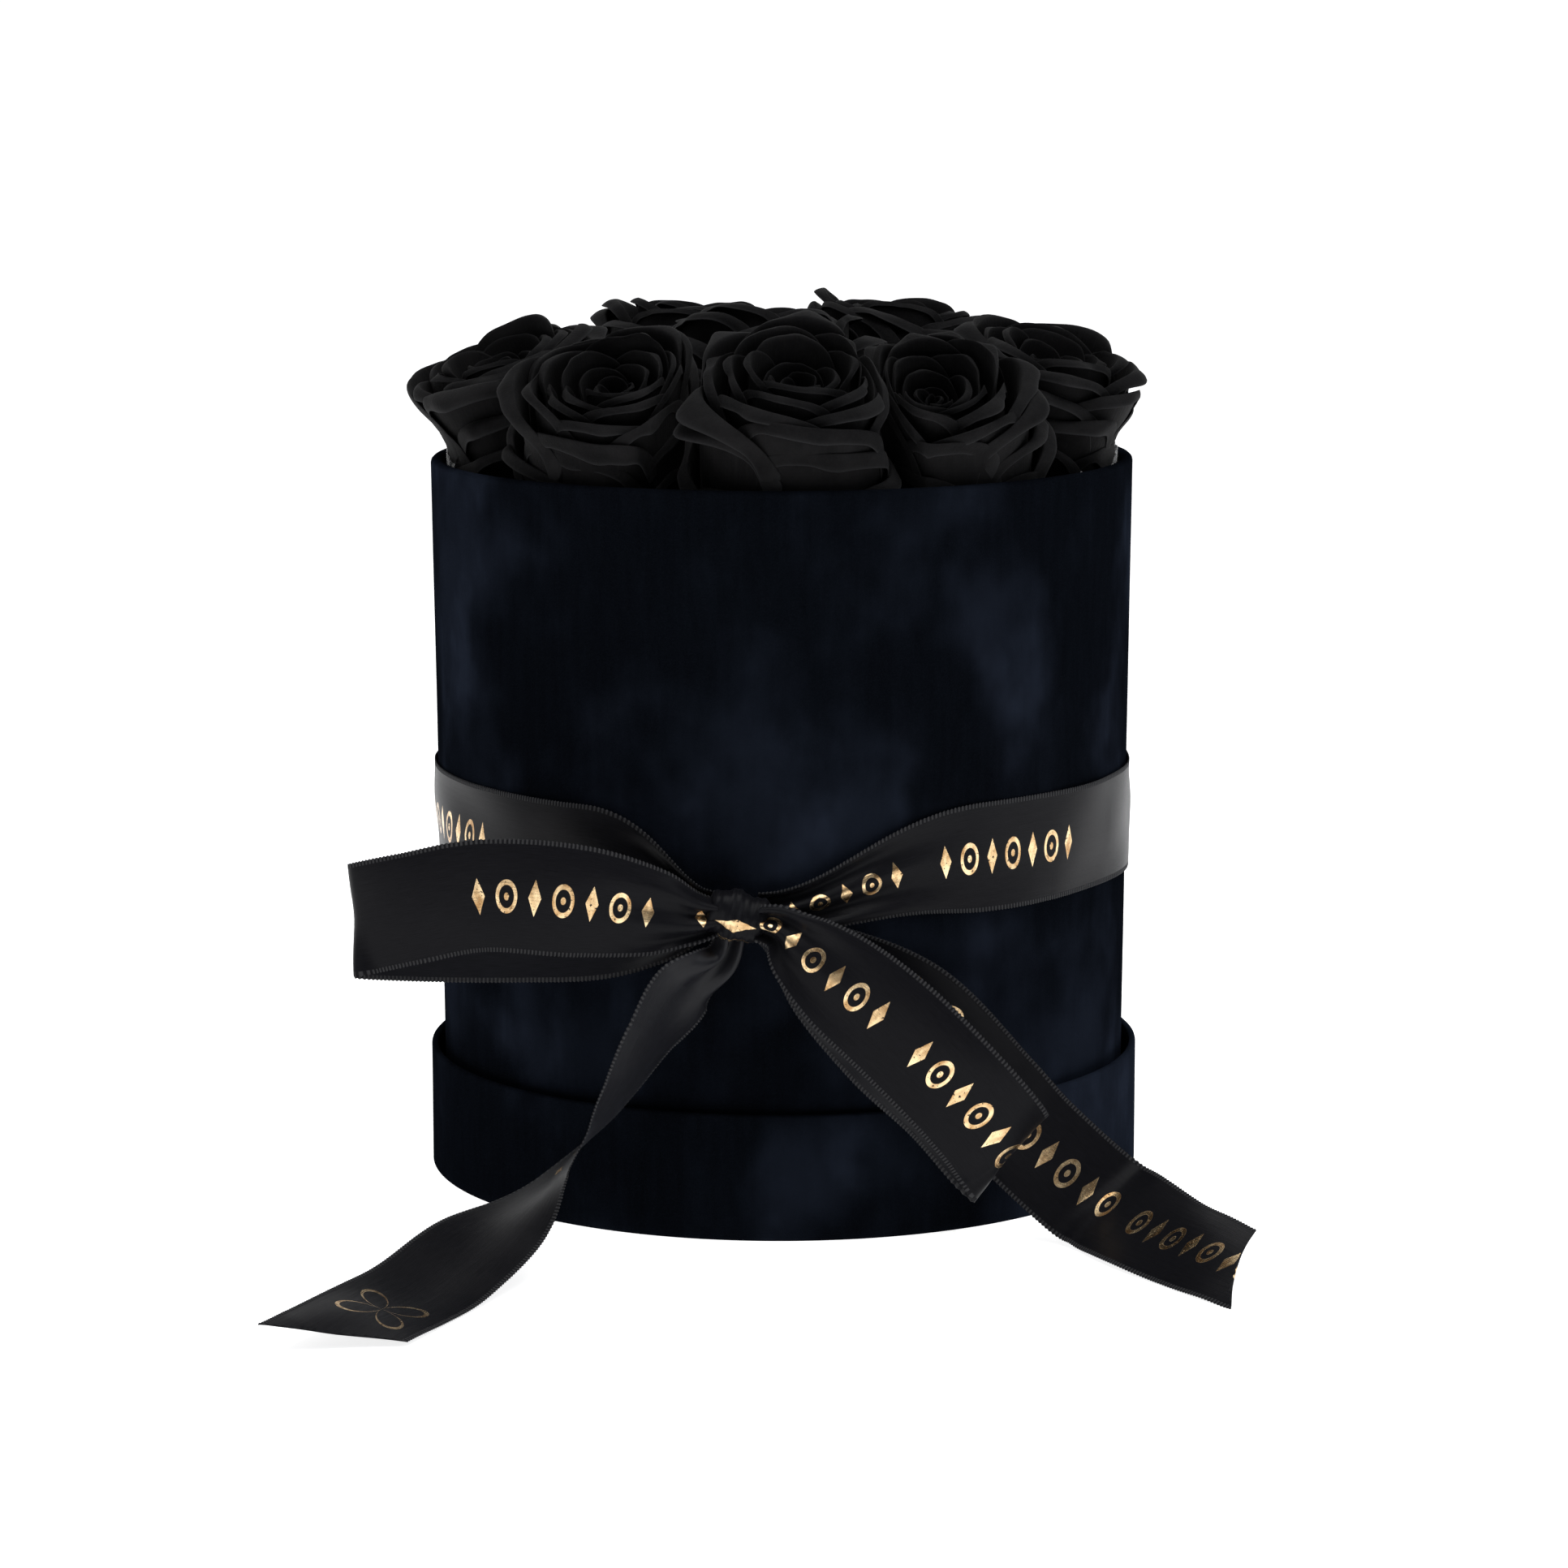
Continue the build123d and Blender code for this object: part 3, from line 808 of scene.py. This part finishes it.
def band_stations():
    """Stations round the wall from the knot's right side to its left side, in millimetres."""
    knot_bearing = atan2(knot.x, -knot.y)
    middle = (band_low.z + band_high.z) / 2
    stations = []
    for bearing in stops(3, 357, 119):
        from_knot = min(bearing, 360 - bearing)
        gathered = 1 - smooth(from_knot, 3, 40 if bearing < 180 else 26)
        pull = gathered ** 1.5
        height = middle + (knot.z - middle) * pull
        angle = knot_bearing + radians(bearing)
        radius = box_radius(height) + BAND_LIFT + 3.0 * MM * gathered ** 2
        point = Vector((radius * sin(angle), -radius * cos(angle), height))
        width = RIBBON_WIDTH + (10 * MM - RIBBON_WIDTH) * gathered
        lean = Vector((sin(angle) * BOX_TAPER / rim_height, -cos(angle) * BOX_TAPER / rim_height, 1))
        stations.append((point / MM, lean, width / MM))
    return stations


band_route = Route(band_stations())
ribbon_piece(
    "ribbon_round_box", ribbon_mesh(band_route, 0, 2.2, 1.0, 0.002, printed_out=False),
    "ribbon_band",
)

# The knot is a short length of the ribbon wrapped once over the crossing and pulled tight, so its
# width crushes into slanting pleats.

knot_low, knot_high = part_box("bow_knot")
KNOT_RADIUS = 5.5 * MM


def knot_mesh():
    """A pleated barrel spun round the knot's left to right axis, slanted and dented by hand."""
    mesh = bmesh.new()
    half = (knot_high.x - knot_low.x) / 2 * 1.08
    outline = []
    for share in stops(-1, 1, 41):
        crown = (1 - abs(share) ** 4.5) ** 0.5 if abs(share) < 1 else 0
        pleat = 0.42 * cos(share * pi * 1.9 + 0.9) + 0.12 * cos(share * pi * 7.5 + 1)
        outline.append(mesh.verts.new((share * half, (2.6 + 2.9 * crown + pleat * crown) * MM, 0)))
    edges = [mesh.edges.new(pair) for pair in zip(outline, outline[1:])]
    bmesh.ops.spin(
        mesh, geom=outline + edges, cent=(0, 0, 0), axis=(1, 0, 0), angle=2 * pi, steps=64,
        use_merge=True,
    )
    for side in (-1, 1):
        rim = [point for point in mesh.verts if abs(point.co.x - side * half) < 0.01 * MM]
        bmesh.ops.contextual_create(mesh, geom=rim)
    bmesh.ops.remove_doubles(mesh, verts=mesh.verts, dist=0.001 * MM)
    bmesh.ops.recalc_face_normals(mesh, faces=mesh.faces)
    flat = mesh.loops.layers.uv.new("ribbon")
    for face in mesh.faces:
        for loop in face.loops:
            place = loop.vert.co
            loop[flat].uv = (atan2(place.z, -place.y) * KNOT_RADIUS + 0.0365, place.x * 0.9)
    for point in mesh.verts:
        x, y, z = point.co
        dent = noise.noise(Vector((x * 260, y * 150, z * 150))) * 0.9 * MM
        slant = 0.30 * z
        reach = hypot(y, z)
        grow = 1 + dent / max(reach, 1 * MM)
        point.co = knot + Vector((x + slant * 0.9, y * grow * 0.96, z * grow - 0.20 * x))
    return mesh


bow_knot = new_piece("bow_knot_wrap", knot_mesh(), "box", "ribbon_satin", "bow_knot")
dress(bow_knot, satin_face)


def beside_knot(x, y, z):
    """A point to the right of, in front of and above the knot's middle, in millimetres."""
    return knot.x / MM + x, knot.y / MM - y, knot.z / MM + z


def above_table(x, y, z):
    """A point to the right of and in front of the knot's middle, at a height over the table."""
    return knot.x / MM + x, knot.y / MM - y, z


# Two loops spring from the knot. The left one is open and stands out to the side; the right one
# hangs down across the box. Each is one strip that leaves the knot in front and comes back behind.

UP = (0, 0, 1)
FALLING = (0.643, 0, 0.766)
LEANING = (0, 0.3, 1)
left_loop_route = Route([
    (beside_knot(-4.6, 2.6, 0.3), UP, 8),
    (beside_knot(-10, 4.0, 0.4), UP, 12.5),
    (beside_knot(-19, 6.5, 2.2), UP, 20),
    (beside_knot(-36, 8.5, 5.2), UP, 25.4),
    (beside_knot(-57, 8, 6.4), UP, 25.4),
    (beside_knot(-74, 5.5, 3), UP, 25.4),
    (beside_knot(-84.5, 1, 0), UP, 25.4),
    (beside_knot(-86.2, -2.5, -1.5), UP, 25.4),
    (beside_knot(-83.5, -6, -2.8), LEANING, 25.4),
    (beside_knot(-70, -9, -4), LEANING, 25.4),
    (beside_knot(-52, -9, -4.2), LEANING, 25.4),
    (beside_knot(-33, -6.5, -3.2), LEANING, 25.4),
    (beside_knot(-19, -3.6, -2), UP, 20),
    (beside_knot(-10, -1.4, -0.8), UP, 12.5),
    (beside_knot(-4.6, -0.6, -0.4), UP, 8),
])
ribbon_piece(
    "bow_loop_left_satin", ribbon_mesh(left_loop_route, -1.1 * MM, 2.4, 0.6, 0.0316),
    "bow_loop_left",
)

right_loop_route = Route([
    (beside_knot(4.8, 3.4, -0.9), UP, 8),
    (beside_knot(9.8, 4.6, -2), (0.15, 0, 1), 11),
    (beside_knot(15, 7.2, -6.5), (0.45, 0, 0.9), 18),
    (beside_knot(24, 10, -14), FALLING, 23.5),
    (beside_knot(36.4, 12.5, -24.4), FALLING, 25.4),
    (beside_knot(49.4, 14.5, -37.4), FALLING, 25.4),
    (beside_knot(57.4, 13.8, -47), FALLING, 25.4),
    (beside_knot(60.4, 10.6, -52.5), FALLING, 25.4),
    (beside_knot(58.6, 6.6, -53), FALLING, 25.4),
    (beside_knot(48.4, 4.4, -41.4), FALLING, 25.4),
    (beside_knot(34.4, 3.2, -28.4), FALLING, 25.4),
    (beside_knot(20.0, 2.2, -16.2), (0.5, 0, 0.85), 19),
    (beside_knot(9.8, 1.2, -6), (0.15, 0, 1), 9),
    (beside_knot(4.8, 0.6, -2.6), UP, 7),
])
ribbon_piece(
    "bow_loop_right_satin",
    ribbon_mesh(right_loop_route, 1.0 * MM, 2.2, 2.3, 0.0, printed_out=False),
    "bow_loop_right",
)

# The two tails hang from under the knot and run out over the table in front. The left one twists
# half over on its way down. Both ends are cut on a slant.

left_tail_route = Route([
    (beside_knot(-1.2, 0.4, -4.5), (1, 0.2, 0), 7),
    (beside_knot(-3.6, 0.3, -10.5), (1, 0.5, 0), 9.5),
    (above_table(-11.6, 2.5, 61), (0.75, 0.66, 0), 22),
    (above_table(-19.4, 5.4, 51), (0.58, 0.81, 0), 25.4),
    (above_table(-26.4, 7, 39), (0.42, 0.91, 0), 25.4),
    (above_table(-33.2, 8.4, 29), (0.24, 0.97, 0), 25.4),
    (above_table(-42.6, 11.4, 19), (-0.1, 0.99, -0.05), 25.4),
    (above_table(-52.2, 21, 11.5), (-0.36, 0.91, 0.2), 25.4),
    (above_table(-62, 37, 6.8), (-0.64, 0.71, 0.3), 25.4),
    (above_table(-71, 54, 4.2), (-0.87, 0.42, 0.26), 25.4),
    (above_table(-85.6, 85, 4), (-0.93, 0.25, 0.24), 25.4),
    (above_table(-90.2, 94, 4), (-0.93, 0.25, 0.24), 25.4),
])
ribbon_piece(
    "ribbon_tail_left_satin",
    ribbon_mesh(
        left_tail_route, 0.5 * MM, 2.0, 4.0, 0.0190,
        lambda across: (1 - across) / 2 * 20 * MM + (1 - across * across) * 1.6 * MM,
    ),
    "ribbon_tail_left",
)

right_tail_route = Route([
    (beside_knot(5.0, -1.6, -1.6), (0, 0, -1), 7),
    (beside_knot(9.6, -2.4, -3.8), (-0.2, 0, -1), 9),
    (beside_knot(20.4, -1.6, -10.5), (-0.5, -0.1, -0.85), 17),
    (above_table(39.4, -2.6, 54), (-0.7, -0.1, -0.7), 25.4),
    (above_table(58.4, -5.4, 33.7), (-0.74, -0.2, -0.65), 25.4),
    (above_table(67.4, -6, 23.4), (-0.6, -0.24, -0.75), 25.4),
    (above_table(78.6, -4.5, 13), (-0.5, -0.28, -0.82), 25.4),
    (above_table(84.4, -1, 9.4), (-0.6, -0.46, -0.67), 25.4),
    (above_table(89, 7, 8.5), (-0.6, -0.5, -0.6), 25.4),
    (above_table(96.4, 18.6, 6.7), (-0.6, -0.65, -0.46), 25.4),
    (above_table(103.2, 28, 6), (-0.43, -0.8, -0.4), 25.4),
    (above_table(112.4, 40.5, 4.7), (-0.22, -0.93, -0.3), 25.4),
    (above_table(117.6, 47.0, 4.4), (-0.22, -0.93, -0.3), 25.4),
])
ribbon_piece(
    "ribbon_tail_right_satin",
    ribbon_mesh(
        right_tail_route, -0.6 * MM, 2.0, 5.2, 0.1139,
        lambda across: (1 - across) / 2 * 18 * MM + (1 - across * across) * 1.2 * MM,
    ),
    "ribbon_tail_right",
)

# ---- Table, light and camera ----
# A white table under one large overhead softbox, with a softbox on each side. The room is dark in
# front of the box and bright behind it. The camera stands in front, a little above the flowers.

TABLE = 60  # half its side, so large that its far edge can't be told from the backdrop
floor_mesh = bmesh.new()
bmesh.ops.create_grid(floor_mesh, x_segments=8, y_segments=8, size=TABLE)
floor_data = bpy.data.meshes.new("table_top")
floor_mesh.to_mesh(floor_data)
floor_mesh.free()
floor = bpy.data.objects.new("table_top", floor_data)
bpy.context.scene.collection.objects.link(floor)
table_material, table_shader, table_bench, table_place = finish(
    "table_white", Roughness=0.9, Specular_IOR_Level=0.0, Emission_Color=(1, 1, 1, 1),
    Emission_Strength=0.80,
)
table_bench.feed(
    table_shader.inputs["Base Color"],
    table_bench.mixed(table_bench.noise(table_place, 3, 2), (0.84, 0.84, 0.84), (0.88, 0.88, 0.88)),
)
dress(floor, table_material)

scene = bpy.context.scene
scene.view_settings.view_transform = "Standard"
world = bpy.data.worlds.new("studio")
scene.world = world
world.use_nodes = True
sky = Wire(world.node_tree)
behind = world.node_tree.nodes["Background"]
seen = sky.node("LightPath")
backward = sky.node("SeparateXYZ", out=1, Vector=sky.node("TexCoord"))
room = sky.mixed(backward.between(0.05, 0.8), (0.11, 0.113, 0.12), (1.0, 1.0, 1.0))
sky.feed(behind.inputs["Color"], sky.mixed(seen, room, (1, 1, 1)))
behind.inputs["Strength"].default_value = 1.0


def softbox(name, place, aim, width, height, power, colour=(1, 1, 1)):
    lamp = bpy.data.lights.new(name, "AREA")
    lamp.shape = "RECTANGLE"
    lamp.size = width
    lamp.size_y = height
    lamp.energy = power
    lamp.color = colour
    holder = bpy.data.objects.new(name, lamp)
    scene.collection.objects.link(holder)
    facing = (Vector(aim) - Vector(place)).to_track_quat("-Z", "Y").to_matrix().to_4x4()
    holder.matrix_world = Matrix.Translation(place) @ facing


softbox("softbox_above", (0.15, -0.35, 1.5), (0, 0, 0.1), 1.5, 1.2, 20)
softbox("softbox_left", (-1.4, -0.9, 0.75), (0, 0, 0.12), 0.35, 1.0, 1.8)
softbox("softbox_right", (1.5, -0.6, 0.8), (0, 0, 0.12), 0.35, 1.0, 4.6, (0.93, 0.96, 1.0))

lens = bpy.data.cameras.new("camera")
lens.lens = 110.12
lens.sensor_width = 36
lens.clip_start = 0.05
camera = bpy.data.objects.new("camera", lens)
scene.collection.objects.link(camera)
tilt = Matrix.Rotation(radians(90 - 9.744), 4, "X") @ Matrix.Rotation(radians(-0.187), 4, "Z")
camera.matrix_world = Matrix.Translation((0.00034, -1.1610, 0.2916)) @ tilt
scene.camera = camera
